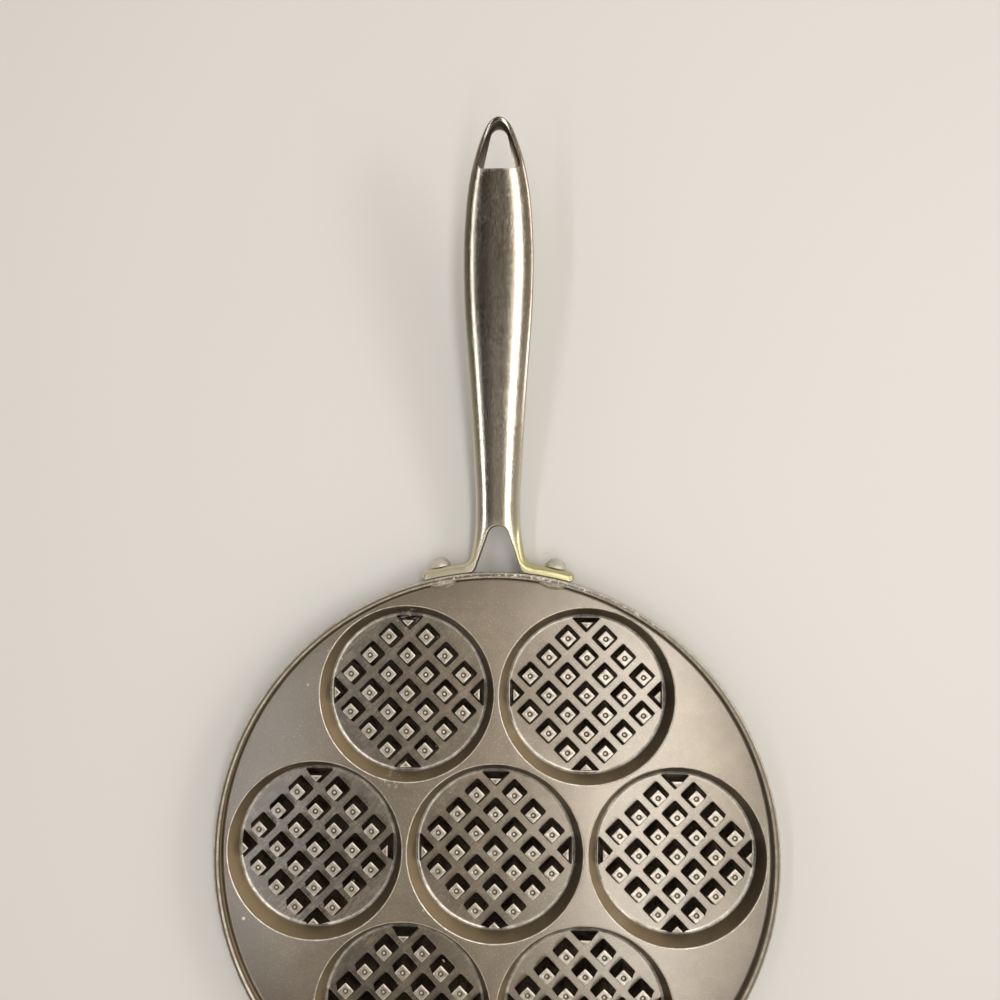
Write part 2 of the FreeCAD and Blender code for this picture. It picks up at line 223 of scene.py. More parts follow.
class Finishes(bpy.types.PropertyGroup):
    """Colours and gloss of the surfaces."""
    coat: colour("Coat", "Non-stick coat where it is clean", (0.33, 0.265, 0.175))
    # Also the colour of painted shade: the coat darker to the left and near the rim
    coat_brown_and_shade: colour("Browned coat", "Non-stick coat where it has darkened", (0.115, 0.08, 0.045))
    # Also the colour of painted shade on the studs' sides, in the marks' rings, in the corner at the rim and
    # on the walls
    crust_and_shade: colour("Crust", "Burnt-on film between the studs", (0.014, 0.009, 0.007))
    oiled: colour("Oiled walls", "Oil-browned walls of the wells", (0.50, 0.385, 0.235))
    # Also the colour of painted highlights on rounds and in the marks
    bare_metal_and_highlight: colour("Bare metal", "Aluminium where the coat is worn through", (0.93, 0.88, 0.77))
    peel: colour("Peeled rim", "Pale metal where the coat has flaked off the rim", (0.78, 0.76, 0.71))
    crumb: colour("Crumbs", "Pale dried batter", (0.72, 0.66, 0.55))
    steel: colour("Steel", "Brushed steel of the handle", (0.45, 0.41, 0.34))
    smoked: colour("Smoked steel", "Brown tone of the steel towards the hanging loop", (0.22, 0.16, 0.115))
    tint: colour("Heat tint", "Gold tint of the heated foot", (0.50, 0.46, 0.26))
    rivet: colour("Rivet metal", "Satin metal of the rivets", (0.64, 0.61, 0.55))
    floor: colour("Floor", "Pale floor and backdrop", (0.80, 0.80, 0.78))
    coat_gloss: amount("Coat roughness", "Roughness of the clean coat", 0.38)
    steel_gloss: amount("Steel roughness", "Roughness of the brushed steel", 0.14)


class Skin:
    """Patches of quads with wear and crust values, which also carry painted highlights and painted shade,
    gathered and then made into one closed mesh.
    """

    def __init__(self):
        self.points = []
        self.quads = []
        self.marks = {"wear_and_highlight": [], "crust_and_shade": []}
        self.count = 0

    def patch(self, grid, wear_and_highlight=0.0, crust_and_shade=0.0, around=False):
        """Adds grid[..., row, column, xyz]; four neighbouring points make a quad, and leading axes
        repeat the patch. The wear values, which also paint highlights, and the crust values, which also paint
        shade, are spread over the points."""
        grid = grid if grid.ndim == 4 else grid[None]
        copies, rows, columns = grid.shape[:3]
        index = np.arange(copies * rows * columns).reshape(copies, rows, columns) + self.count
        if around:
            index = np.concatenate([index, index[:, :, :1]], axis=2)
        quads = np.stack([index[:, :-1, :-1], index[:, 1:, :-1], index[:, 1:, 1:], index[:, :-1, 1:]],
                         axis=-1)
        self.points.append(grid.reshape(-1, 3))
        self.quads.append(quads.reshape(-1, 4))
        for name, value in (("wear_and_highlight", wear_and_highlight), ("crust_and_shade", crust_and_shade)):
            self.marks[name].append(np.broadcast_to(value, (copies, rows, columns)).reshape(-1))
        self.count += copies * rows * columns

    def build(self, name, sharp_angle):
        """Joins the patches' equal points, turns all faces outwards and links the piece to the scene."""
        mesh = bpy.data.meshes.new(name)
        mesh.from_pydata(np.concatenate(self.points), [], np.concatenate(self.quads))
        for mark, values in self.marks.items():
            data = mesh.attributes.new(mark, "FLOAT", "POINT").data
            data.foreach_set("value", np.concatenate(values).astype(np.float32))
        work = bmesh.new()
        work.from_mesh(mesh)
        bmesh.ops.remove_doubles(work, verts=work.verts, dist=MERGE)
        bmesh.ops.recalc_face_normals(work, faces=work.faces)
        work.to_mesh(mesh)
        work.free()
        mesh.polygons.foreach_set("use_smooth", np.ones(len(mesh.polygons), dtype=bool))
        mesh.set_sharp_from_angle(angle=sharp_angle)
        piece = bpy.data.objects.new(name, mesh)
        bpy.context.scene.collection.objects.link(piece)
        weighted = piece.modifiers.new("flat faces stay flat", "WEIGHTED_NORMAL")
        weighted.keep_sharp = True
        weighted.weight = 80
        return piece


def circle(turn):
    """Unit vectors (cos a, sin a)."""
    return np.stack([np.cos(turn), np.sin(turn)], axis=-1)


def raised(plan, height):
    """Plan points with their height: (x, y, z)."""
    height = np.broadcast_to(height, plan.shape[:-1])
    return np.concatenate([plan, height[..., None]], axis=-1)


def column(*parts):
    """Values of the rows of a patch, as one column."""
    return np.concatenate(parts)[:, None]


def bow(centre_r, centre_z, radius, start, end, steps):
    """Arc as (r, z) points: centre + radius (cos a, sin a), a from start to end degrees."""
    return np.array([centre_r, centre_z]) + radius * circle(np.radians(np.linspace(start, end, steps + 1)))


def turned(profile, origin, axis, steps):
    """Surface of revolution: origin + axis z + r (e1 cos u + e2 sin u) for each (r, z) of the profile."""
    axis = np.asarray(axis, float) / np.linalg.norm(axis)
    first = np.cross(axis, [0.0, 0.0, 1.0] if abs(axis[2]) < 0.9 else [1.0, 0.0, 0.0])
    first /= np.linalg.norm(first)
    second = np.cross(axis, first)
    turn = np.linspace(0, 2 * np.pi, steps, endpoint=False)
    round_way = np.cos(turn)[:, None] * first + np.sin(turn)[:, None] * second
    return np.asarray(origin) + profile[:, None, 1:2] * axis + profile[:, None, 0:1] * round_way


def spin(points, angle):
    """Plan points turned about the pan's centre: (x cos a - y sin a, x sin a + y cos a)."""
    c, s = math.cos(angle), math.sin(angle)
    x, y = points[..., 0], points[..., 1]
    return np.stack([x * c - y * s, x * s + y * c], axis=-1)


def run(a, b, steps):
    """Straight run of points a + (b - a) t without its last one."""
    t = np.linspace(0, 1, steps, endpoint=False)[:, None]
    return np.asarray(a) + (np.asarray(b) - np.asarray(a)) * t


def cells(pitch, edge):
    """Centres and closed borders of the seven cells that the lines midway between wells cut out of the plate.
    The middle cell is a hexagon; an outer cell adds two radial lines and an arc of the plate's edge."""
    sixth = math.pi / OUTER_WELLS
    knot = pitch / 2 / math.cos(sixth)
    high, far = knot * circle(sixth), edge * circle(sixth)
    low = high * [1, -1]
    rim = edge * circle(np.linspace(-sixth, sixth, ARC_STEPS, endpoint=False))
    outer = np.concatenate([rim, run(far, high, LINE_STEPS), run(high, low, HEX_STEPS),
                            run(low, far * [1, -1], LINE_STEPS)])
    ways = [2 * sixth * k for k in range(OUTER_WELLS)]
    middle = np.concatenate([spin(run(low, high, HEX_STEPS), way) for way in ways])
    result = [(np.zeros(2), middle)]
    for way in ways:
        result.append((spin(np.array([pitch, 0.0]), way), spin(outer, way)))
    return result


def rings(centre, border, radii, heights):
    """Grid from a border inwards: centre + way(k) r(row, k) at height z(row, k), way being the unit
    vector from the centre to border point k."""
    offset = border - centre
    reach = np.linalg.norm(offset, axis=1)
    way = offset / reach[:, None]
    return raised(centre + way[None] * radii[:, :, None], heights)


def well_profile(s):
    """(r, z, wear, crust) of a well from its mouth to the middle of its floor: round, cone, round, disc.
    The floor's round gets a painted highlight, and the crust values on the wall pick out the oiled walls and
    their painted shade.
    """
    depth = s.plate_height - s.skin
    lean = math.atan2(s.well_mouth - s.well_floor, depth)
    half = math.tan((math.pi / 2 - lean) / 2)
    mouth = s.well_mouth + MOUTH_ROUND * half
    foot = s.well_floor - FLOOR_ROUND * half
    lean = math.degrees(lean)
    top = bow(mouth, s.plate_height - MOUTH_ROUND, MOUTH_ROUND, 90, 180 - lean, ROUND_STEPS)
    low = bow(foot, s.skin + FLOOR_ROUND, FLOOR_ROUND, -lean, -90, ROUND_STEPS - 1)
    wall_start, wall_end = top[-1], low[0]
    wall = wall_start + (wall_end - wall_start) * np.linspace(0, 1, 5)[1:-1, None]
    disc = np.stack([low[-1, 0] * np.array([0.8, 0.55, 0.3, 0.0]), np.full(4, s.skin)], axis=-1)
    profile = np.concatenate([top, wall, low, disc])
    flat = np.zeros(len(disc))
    # Wear on the mouth's round; the pale ring on the floor's round is a painted highlight
    wear_and_highlight = np.concatenate([[0.25, 0.7, 1, 1, 0.7, 0.2], np.zeros(3), [0.3, 0.75, 1, 0.9, 0.5], flat])
    crust_and_shade = np.concatenate([np.zeros(5), [0.1, 0.12, 0.12, 0.15, 0.2, 0.2], np.zeros(3), flat])
    return profile, wear_and_highlight, crust_and_shade


def rounded(corners, radii):
    """Polygons corners[row, k] with rounded corners. A corner's round has its centre at
    corner - r (n1 + n2) / (1 + n1.n2), n1 and n2 being the outward ways of its two sides, and its points
    at centre + r (cos a, sin a) from n1 to n2."""
    side = corners - np.roll(corners, 1, axis=1)
    side /= np.linalg.norm(side, axis=2, keepdims=True)
    first = np.stack([side[..., 1], -side[..., 0]], axis=-1)
    second = np.roll(first, -1, axis=1)
    match = np.sum(first * second, axis=2, keepdims=True)
    centre = corners - radii[:, None, None] * (first + second) / (1 + match)
    start = np.arctan2(first[..., 1], first[..., 0])[..., None]
    turn = start + np.arccos(match) * np.linspace(0, 1, CORNER_POINTS)
    points = centre[:, :, None] + radii[:, None, None, None] * circle(turn)
    return points.reshape(len(corners), -1, 2)


def stud_levels(s):
    """Rows from a stud's root to its top edge: how far its sides stand inside their straight draft, height,
    wear and crust. The wear is a painted highlight at the root and partly one at the top edge; the crust on
    the sides is partly burnt-on film and partly painted shade. Roots and edges are rounds, r (1 - cos a) in
    and r (1 - sin a) down."""
    low, top = s.skin, s.plate_height - s.stud_drop
    root, edge = STUD_ROOT, STUD_EDGE
    straight = top - low - root - edge
    return np.array([
        (-root, low - root / 4, 0.0, 0.0),
        (-root, low, 0.0, 0.0),
        (-0.3 * root, low + 0.3 * root, 0.5, 0.4),
        (0.0, low + root, 0.0, 1.0),
        (0.0, low + root + 0.35 * straight, 0.0, 1.0),
        (0.0, low + root + 0.7 * straight, 0.0, 1.0),
        (0.0, low + root + straight, 0.0, 1.0),
        (0.12 * edge, top - 0.5 * edge, 0.4, 0.3),
        (0.4 * edge, top - 0.15 * edge, 1.0, 0.0),
        (edge, top, 0.75, 0.0)])


def stud_grids(s):
    """A whole square stud about its own axis with a round mark in its top, and a cut one at its place on the
    x axis of the well, of which only the corner inside the round field is left. Both lean in with height."""
    inset, z, wear_and_highlight, crust_and_shade = stud_levels(s).T
    slope = (s.stud_base - s.stud_top) / 2 / (s.plate_height - s.stud_drop - s.skin)
    lean = slope * (z - s.skin) + inset
    reach = (s.stud_base / 2 - lean) * math.sqrt(2)
    away = STUD_ROWS * s.stud_step
    field = s.well_floor - s.stud_gap - lean
    aside = field - away + reach
    zero = np.zeros_like(reach)
    square = np.array([(reach, zero), (zero, reach), (-reach, zero), (zero, -reach)])
    corner = np.array([(away - reach, zero), (field, -aside), (field, aside)])
    climb = np.clip((z - s.skin) / (z[-1] - s.skin), 0, 1)
    radii = STUD_CORNER_LOW + (STUD_CORNER - STUD_CORNER_LOW) * climb
    whole, cut = [raised(rounded(np.moveaxis(corners, 2, 0), radii * share), z[:, None])
                  for corners, share in ((square, 1.0), (corner, 0.5))]

    sides = whole.shape[1]
    way = circle(np.linspace(0, 2 * np.pi, sides, endpoint=False) - np.pi / 4 + np.pi / sides)
    # The mark in the top: share of its radius, share of its depth, wear, crust; its dark ring is painted
    # shade and its pale middle a painted highlight
    mark = np.array([(1.1, 0.0, 0.6, 0.0), (0.9, 0.22, 0.1, 0.85), (0.6, 0.68, 0.2, 0.5),
                     (0.3, 0.93, 0.9, 0.0), (0.0, 1.0, 0.9, 0.0)])
    hollow = raised(way * (s.dimple * mark[:, :1, None]), z[-1] - s.dimple_depth * mark[:, 1:2])
    whole = np.concatenate([whole[:1] * [0, 0, 1], whole, hollow])
    middle = np.broadcast_to(cut.mean(axis=1, keepdims=True), cut.shape)
    cut = np.concatenate([middle[:1], cut, middle[-1:]])
    return ((whole, column([0], wear_and_highlight, mark[:, 2]), column([0], crust_and_shade, mark[:, 3])),
            (cut, column([0], wear_and_highlight, [0]), column([0], crust_and_shade, [0])))


def stud_places(s):
    """Lattice places i, j with i + j even and |i| + |j| up to the number of rows, less the four cut ones."""
    line = np.arange(-STUD_ROWS, STUD_ROWS + 1)
    i, j = np.meshgrid(line, line)
    keep = ((i + j) % 2 == 0) & (abs(i) + abs(j) <= STUD_ROWS) & (np.maximum(abs(i), abs(j)) < STUD_ROWS)
    return np.stack([i[keep], j[keep]], axis=-1) * s.stud_step


def rivet_axis(h, side):
    """Unit vector from the pan's centre towards a rivet: (side sin a, cos a, 0)."""
    return np.array([side * math.sin(h.rivet_angle), math.cos(h.rivet_angle), 0.0])


def casting(s, h):
    """The whole pan: plate cells with wells, rim and skirt turned about Z, cups below, studs and bosses."""
    skin = Skin()
    inner = s.rim_radius - s.rim_wall
    under = s.plate_height - s.skin
    profile, wear_and_highlight, crust_and_shade = well_profile(s)
    cup_low = s.well_floor + s.cup_wall
    cup_high = s.well_mouth + s.cup_wall
    steep = (under - CUP_ROUND) / (cup_high - cup_low)
    foot = bow(cup_low - CUP_ROUND, CUP_ROUND, CUP_ROUND, 0, -90, ROUND_STEPS)
    pad = np.stack([foot[-1, 0] * np.array([0.66, 0.33, 0.0]), np.zeros(3)], axis=-1)
    below = np.concatenate([foot, pad])
    for centre, border in cells(s.well_pitch, inner - PLATE_ROUND):
        reach = np.linalg.norm(border - centre, axis=1)[None]
        level = np.zeros_like(reach)
        radii = np.concatenate([reach, profile[:, :1] + level])
        heights = np.concatenate([s.plate_height + level, profile[:, 1:] + level])
        skin.patch(rings(centre, border, radii, heights), column([0], wear_and_highlight), column([0], crust_and_shade), around=True)
    for centre, border in cells(s.well_pitch, inner - UNDER_ROUND):
        reach = np.linalg.norm(border - centre, axis=1)[None]
        level = np.zeros_like(reach)
        high = np.minimum(reach, cup_high)
        wall = cup_low + (high - cup_low) * np.linspace(1, 0, ROUND_STEPS + 1)[:-1, None]
        radii = np.concatenate([reach, wall, below[:, :1] + level])
        heights = np.concatenate([CUP_ROUND + (high - cup_low) * steep,
                                  CUP_ROUND + (wall - cup_low) * steep, below[:, 1:] + level])
        skin.patch(rings(centre, border, radii, heights), around=True)

    outer = s.rim_radius
    edge = np.concatenate([
        bow(inner - PLATE_ROUND, s.plate_height + PLATE_ROUND, PLATE_ROUND, -90, 0, ROUND_STEPS),
        bow(inner + RIM_ROUND, s.rim_height - RIM_ROUND, RIM_ROUND, 180, 90, ROUND_STEPS),
        bow(outer - RIM_ROUND, s.rim_height - RIM_ROUND, RIM_ROUND, 90, 0, ROUND_STEPS),
        bow(outer - SKIRT_ROUND, SKIRT_ROUND, SKIRT_ROUND, 0, -90, ROUND_STEPS),
        [(inner, 0.0)],
        bow(inner - UNDER_ROUND, under - UNDER_ROUND, UNDER_ROUND, 0, 90, ROUND_STEPS)])
    # On the plate's round into the rim the crust values paint shade into the corner; on the rim's top they
    # darken its coat
    edge_worn = column(np.zeros(6), [0.2, 0.5, 0.75, 0.8, 0.6, 0.3], [0.3, 0.6, 0.8, 0.75, 0.5, 0.2],
                       [0.1, 0.3, 0.5, 0.5, 0.3, 0.1], np.zeros(7))
    edge_crust_and_shade = column([0, 0.3, 0.8, 0.9, 0.6, 0.2], np.zeros(5), [0.5, 0.5], np.zeros(len(edge) - 13))
    turn = np.linspace(0, 2 * math.pi, OUTER_WELLS * ARC_STEPS, endpoint=False) - math.pi / OUTER_WELLS
    skin.patch(raised(edge[:, None, :1] * circle(turn), edge[:, 1:]), edge_worn, edge_crust_and_shade, around=True)

    (whole, whole_wear_and_highlight, whole_crust_and_shade), (cut, cut_wear_and_highlight, cut_crust_and_shade) = stud_grids(s)
    wells = raised(np.array([centre for centre, _ in cells(s.well_pitch, inner)]), 0.0)
    places = (wells[:, None] + raised(stud_places(s), 0.0)).reshape(-1, 3)
    skin.patch(whole + places[:, None, None], whole_wear_and_highlight, whole_crust_and_shade, around=True)
    for quarter in range(4):
        turned_cut = raised(spin(cut, quarter * math.pi / 2), cut[..., 2])
        skin.patch(turned_cut + wells[:, None, None], cut_wear_and_highlight, cut_crust_and_shade, around=True)

    lens = circle(np.radians(np.linspace(0, 90, BOSS_STEPS + 1))) * [s.boss_base, s.boss_proud]
    boss = np.concatenate([[(0, 0), (s.boss_base, 0)], lens + [0, s.rim_wall / 2]])
    for side in (-1, 1):
        axis = rivet_axis(h, side)
        start = axis * (inner + s.rim_wall / 2) + [0, 0, h.rivet_height]
        # Wear growing towards the boss's top, partly a painted highlight
        wear_and_highlight = column(np.linspace(0.6, 1.0, len(boss)))
        skin.patch(turned(boss, start, -axis, BOSS_SIDES), wear_and_highlight, around=True)
    return skin


def smooth_through(points, steps):
    """Natural cubic spline by chord length: on each span the second slopes m solve the tridiagonal rule
    h m(k-1) + 2 (h + h') m(k) + h' m(k+1) = 6 (change of slope), with m = 0 at both ends."""
    spans = np.linalg.norm(np.diff(points, axis=0), axis=1)
    t = np.concatenate([[0.0], np.cumsum(spans)])
    last = len(points) - 1
    inside = np.arange(1, last)
    rule = np.eye(last + 1)
    rule[inside, inside - 1] = spans[:-1]
    rule[inside, inside] = 2 * (spans[:-1] + spans[1:])
    rule[inside, inside + 1] = spans[1:]
    change = np.zeros_like(points)
    change[inside] = 6 * np.diff(np.diff(points, axis=0) / spans[:, None], axis=0)
    bend = np.linalg.solve(rule, change)
    s = np.linspace(0, t[-1], steps + 1)
    k = np.clip(np.searchsorted(t, s, side="right") - 1, 0, last - 1)
    h, a, b = spans[k][:, None], (t[k + 1] - s)[:, None], (s - t[k])[:, None]
    return ((bend[k] * a ** 3 + bend[k + 1] * b ** 3) / (6 * h) + (points[k] / h - bend[k] * h / 6) * a
            + (points[k + 1] / h - bend[k + 1] * h / 6) * b)


def even(chain, steps):
    """The chain resampled at even lengths along itself."""
    t = np.concatenate([[0.0], np.cumsum(np.linalg.norm(np.diff(chain, axis=0), axis=1))])
    s = np.linspace(0, t[-1], steps + 1)
    return np.stack([np.interp(s, t, chain[:, 0]), np.interp(s, t, chain[:, 1])], axis=-1)


def clock(radius, turn):
    """Plan points at a radius, turned clockwise from +Y: radius (sin a, cos a)."""
    turn = np.asarray(turn, float)
    return np.stack([radius * np.sin(turn), radius * np.cos(turn)], axis=-1)


def corner_arc(start, corner, end):
    """Arc that touches both sides of a corner at start and end, both as far from it. Its centre lies on the
    corner's bisector at distance run / cos(half angle)."""
    run_in = (start - corner) / np.linalg.norm(start - corner)
    run_out = (end - corner) / np.linalg.norm(end - corner)
    reach = np.linalg.norm(start - corner)
    half = math.acos(np.clip(np.dot(run_in, run_out), -1, 1)) / 2
    middle = (run_in + run_out) / np.linalg.norm(run_in + run_out)
    centre = corner + middle * reach / math.cos(half)
    first, final = start - centre, end - centre
    turn = math.atan2(first[0] * final[1] - first[1] * final[0], np.dot(first, final))
    across = np.array([-first[1], first[0]])
    return centre + circle(np.linspace(0, turn, BEND_STEPS + 1)) @ np.array([first, across])


def leg_chains(h, rim_radius, flank):
    """Outer and inner plan edges of the right leg and foot, each in two runs that meet at the foot's bend.
    The outer edge follows the flank, an arc round the pan and the foot's end; the inner edge the arch, the
    leg, the heel and the rim."""
    inner = rim_radius + FOOT_GAP
    outer = inner + h.foot_depth
    leg_end = flank[-1]
    way = flank[-1] - flank[-2]
    way /= np.linalg.norm(way)
    along = -np.dot(leg_end, way)
    reach = along - math.sqrt(along ** 2 - np.dot(leg_end, leg_end) + outer ** 2)
    corner = leg_end + way * reach
    corner_turn = math.atan2(corner[0], corner[1])
    bend = corner_arc(leg_end, corner, clock(outer, corner_turn + reach / outer))
    half = len(bend) // 2
    end_turn = math.asin((h.foot_span - FOOT_ROUND) / (outer - FOOT_ROUND))
    for _ in range(8):
        end_turn = math.asin((h.foot_span - FOOT_ROUND * math.cos(end_turn)) / (outer - FOOT_ROUND))
    round_turn = FOOT_ROUND / outer
    far = clock(outer, end_turn + round_turn)
    side = np.array([far[1], -far[0]]) / outer
    out = far / outer
    end_corner = clock(outer, end_turn) + side * FOOT_ROUND
    end_round = corner_arc(clock(outer, end_turn), end_corner, end_corner - out * FOOT_ROUND)
    inner_round = h.foot_depth - 1.1 * FOOT_ROUND
    low_corner = end_corner - out * h.foot_depth
    low_turn = math.atan2(low_corner[0], low_corner[1])
    low_start = low_turn - inner_round / inner
    low_round = corner_arc(low_corner + out * inner_round, low_corner, clock(inner, low_start))

    arch = np.array([0.0, h.arch_y])
    to_heel = clock(rim_radius, math.asin(h.heel_x / rim_radius)) - arch
    lean = math.atan2(to_heel[1], to_heel[0]) + math.acos(h.arch_radius / np.linalg.norm(to_heel))
    arch_end = arch + h.arch_radius * circle(lean)
    down = np.array([math.sin(lean), -math.cos(lean)])
    along = -np.dot(arch_end, down)
    heel = arch_end + down * (along - math.sqrt(along ** 2 - np.dot(arch_end, arch_end) + inner ** 2))
    heel_end = math.atan2(heel[0], heel[1]) + HEEL_ROUND / inner
    heel_round = corner_arc(heel - down * HEEL_ROUND, heel, clock(inner, heel_end))
    middle = len(heel_round) // 2
    arch_arc = arch + h.arch_radius * circle(np.linspace(math.pi / 2, lean, ARCH_POINTS))
    foot_in = clock(inner, np.linspace(heel_end, low_start, FOOT_ARC_POINTS))
    foot_out = clock(outer, np.linspace(corner_turn + reach / outer, end_turn, FOOT_ARC_POINTS))
    return ((bend[:half + 1], np.concatenate([bend[half:], foot_out[1:], end_round[1:]])),
            (np.concatenate([arch_arc, heel_round[:middle + 1]]),
             np.concatenate([heel_round[middle:], foot_in[1:], low_round[::-1][1:], end_round[-1:]])))


class HandlePlan:
    """Right half of the handle's plan: one edge from the tip round the foot to the arch, its inward ways, the
    hanging hole's edge, and the handle's height along its length."""

    def __init__(self, h, rim_radius):
        self.h = h
        rows = np.array([(half * MM, y * MM) for y, half in FLANK] + [(h.leg_x, h.leg_y)])
        whole = np.concatenate([rows[::-1] * [-1, 1], [(0.0, h.tip)], rows])
        flank = smooth_through(whole, 2 * FLANK_STEPS)[FLANK_STEPS:]
        arch_top = h.arch_y + h.arch_radius
        self.fork = int(np.argmax(flank[:, 1] < arch_top))
        outer, inner = leg_chains(h, rim_radius, flank)
        outside = np.concatenate([even(np.concatenate([flank[self.fork:], outer[0][1:]]), LEG_STEPS),
                                  even(outer[1], FOOT_STEPS)[1:]])
        inside = np.concatenate([even(inner[0], LEG_STEPS), even(inner[1], FOOT_STEPS)[1:]])
        self.turnpoint = self.fork + len(outside) - 1
        self.edge = np.concatenate([flank[:self.fork], outside, inside[::-1][1:]])
        slope = np.gradient(self.edge, axis=0)
        slope /= np.linalg.norm(slope, axis=1)[:, None]
        self.inward = np.stack([slope[:, 1], -slope[:, 0]], axis=-1)
        self.inward[0] = (0, -1)
        self.inward[-1] = (0, 1)
        self.lift()

    def lift(self):
        """Bend angle of the rise, by repeated use of angle = atan((rise - bend rise) / (run - bend run))."""
        h = self.h
        self.angle = 0.0
        for _ in range(20):
            self.bend_run = h.rise_radius * math.sin(self.angle)
            self.bend_lift = h.rise_radius * (1 - math.cos(self.angle))
            self.angle = math.atan2(h.tip_height - h.foot_top - self.bend_lift,
                                    h.tip - h.rise_start - self.bend_run)

    def ridge(self, y):
        """Height of the top's middle: level, then a circle, then a straight slope."""
        h = self.h
        past = np.clip(y - h.rise_start, 0, None)
        circle = h.rise_radius - np.sqrt(h.rise_radius ** 2 - np.clip(past, 0, self.bend_run) ** 2)
        return h.foot_top + circle + np.clip(past - self.bend_run, 0, None) * math.tan(self.angle)

    def bottom(self, y):
        """Height of the side wall's lower edge: straight runs from foot to neck to tip."""
        h = self.h
        places = [h.rise_start, h.neck_y, h.tip]
        levels = [h.foot_bottom, self.ridge(h.neck_y) - h.neck_depth, h.tip_height - h.tip_depth]
        return np.interp(y, places, levels)

    def moved(self, inset):
        """The plan edge moved inwards: edge + way inset."""
        return self.edge + self.inward * np.asarray(inset)[..., None]

    def away(self, plan, edge):
        """Distance from plan points to a chain: the least |p - a - t (b - a)| over its pieces a to b, with
        t = (p - a).(b - a) / |b - a|^2 kept between 0 and 1."""
        points = plan.reshape(-1, 1, 2)
        start, step = edge[:-1], np.diff(edge, axis=0)
        t = np.clip(np.sum((points - start) * step, axis=2) / np.sum(step * step, axis=1), 0, 1)
        gap = points - start - t[..., None] * step
        return np.sqrt(np.min(np.sum(gap * gap, axis=2), axis=1)).reshape(plan.shape[:-1])

    def grip(self, plan):
        """Fall of the rounded top at plan points: H (1 - sqrt(1 - (1 - d / W)^2)), d being the distance to
        the outer edge. W is most of the half width on the grip and a plain width on legs and feet; W and H
        go from one to the other along the legs as t t (3 - 2 t), and H lessens in a straight line to the
        tip."""
        h = self.h
        y = plan[..., 1]
        flank = self.edge[:self.turnpoint]
        sides = flank[:self.fork + LEG_STEPS][::-1]
        half = np.interp(np.clip(y, h.arch_y, h.hole_bottom), sides[:, 1], sides[:, 0])
        t = np.clip((y - h.leg_y) / GRIP_FADE, 0, 1)
        t = t * t * (3 - 2 * t)
        width = FOOT_SHOULDER + (GRIP_SHARE * half - FOOT_SHOULDER) * t
        fall = FOOT_FALL + (h.grip_drop - FOOT_FALL) * t
        fall = fall * (1 - LOOP_LEVEL * np.clip((y - h.hole_bottom) / (h.tip - h.hole_bottom), 0, 1))
        u = 1 - np.clip(self.away(plan, flank) / width, 0, 1)
        return fall * (1 - np.sqrt(1 - u * u))

    def top(self, plan):
        """Height of the top face: ridge less grip less the round r (1 - sqrt(1 - (1 - d / r)^2)) along every
        edge, d being the distance to it."""
        r = EDGE_ROUND
        u = 1 - np.clip(self.away(plan, self.edge) / r, 0, 1)
        return self.ridge(plan[..., 1]) - self.grip(plan) - r * (1 - np.sqrt(1 - u * u))

    def ceiling(self, plan):
        """Height of the top sheet's underside: ridge less grip less the sheet."""
        return self.ridge(plan[..., 1]) - self.grip(plan) - self.h.sheet

    def lip(self, share):
        """Plan points of the turned-in lip, share of the way from the wall's inside to the lip's edge. That
        edge is the plan edge moved in, but round the hanging hole an arc over the tip with straight sides,
        spread evenly; below the hole the first shades into the second by t t (3 - 2 t)."""
        h = self.h
        y = self.edge[:, 1]
        drawn = self.moved(h.sheet + h.lip * np.clip((y - LIP_START) / (2 * h.lip) + 1, 0, 1))
        count = int(np.argmax(y < h.hole_bottom))
        centre = np.array([0.0, EYE_TIP - EYE_ROUND])
        low = np.array([EYE_HALF, h.hole_bottom]) - centre
        final = math.atan2(low[1], low[0]) + math.acos(EYE_ROUND / np.linalg.norm(low))
        arc = centre + EYE_ROUND * circle(np.linspace(math.pi / 2, final, ARCH_POINTS))
        t = np.clip((y - h.hole_bottom) / EYE_FADE + 1, 0, 1)[:, None]
        edge = drawn + (low + centre - drawn[count]) * t * t * (3 - 2 * t)
        edge[:count] = even(np.concatenate([arc, [low + centre]]), count - 1)
        wall = self.moved(h.sheet)
        return wall + (edge - wall) * share

    def hole(self):
        """Right half of the hanging hole's edge: the flank moved inwards, then a rounded corner."""
        h = self.h
        side = self.moved(HOLE_INSET)
        count = int(np.argmax(side[:, 1] < h.hole_bottom + HOLE_ROUND))
        side = side[:count]
        centre = np.array([side[-1, 0] - HOLE_ROUND, h.hole_bottom + HOLE_ROUND])
        corner = bow(*centre, HOLE_ROUND, 0, -90, HOLE_CORNER_STEPS)[1:]
        return np.concatenate([side, corner])

    def face(self, inset, height):
        """Grids that fill the plan up to the edge moved in by inset: rows run from the middle line or the
        hole's edge to the handle's edge, at the given height. Loop, body, and leg with foot."""
        h = self.h
        border = self.moved(inset)
        hole = self.hole()
        last = len(hole)
        share = np.linspace(0, 1, LOOP_COLUMNS)[None, :, None]
        loop = hole[:, None] + (border[:last, None] - hole[:, None]) * share
        split = hole[-1, 0] / border[last - 1, 0]
        columns = np.concatenate([np.linspace(0, split, FACE_COLUMNS, endpoint=False),
                                  split + (1 - split) * share[0, :, 0]])
        rows = border[last - 1:self.fork + 1]
        start = np.linspace((0, h.hole_bottom), (0, h.arch_y + h.arch_radius + inset), len(rows))
        body = start[:, None] + (rows - start)[:, None] * columns[None, :, None]
        body[0] = np.concatenate([run((0, h.hole_bottom), hole[-1], FACE_COLUMNS), loop[-1]])
        out = border[self.fork:self.turnpoint + 1]
        back = border[self.turnpoint:][::-1]
        leg = back[:, None] + (out - back)[:, None] * columns[None, :, None]
        leg[0] = body[-1]
        for plan in (loop, body, leg):
            yield raised(plan, height(plan))


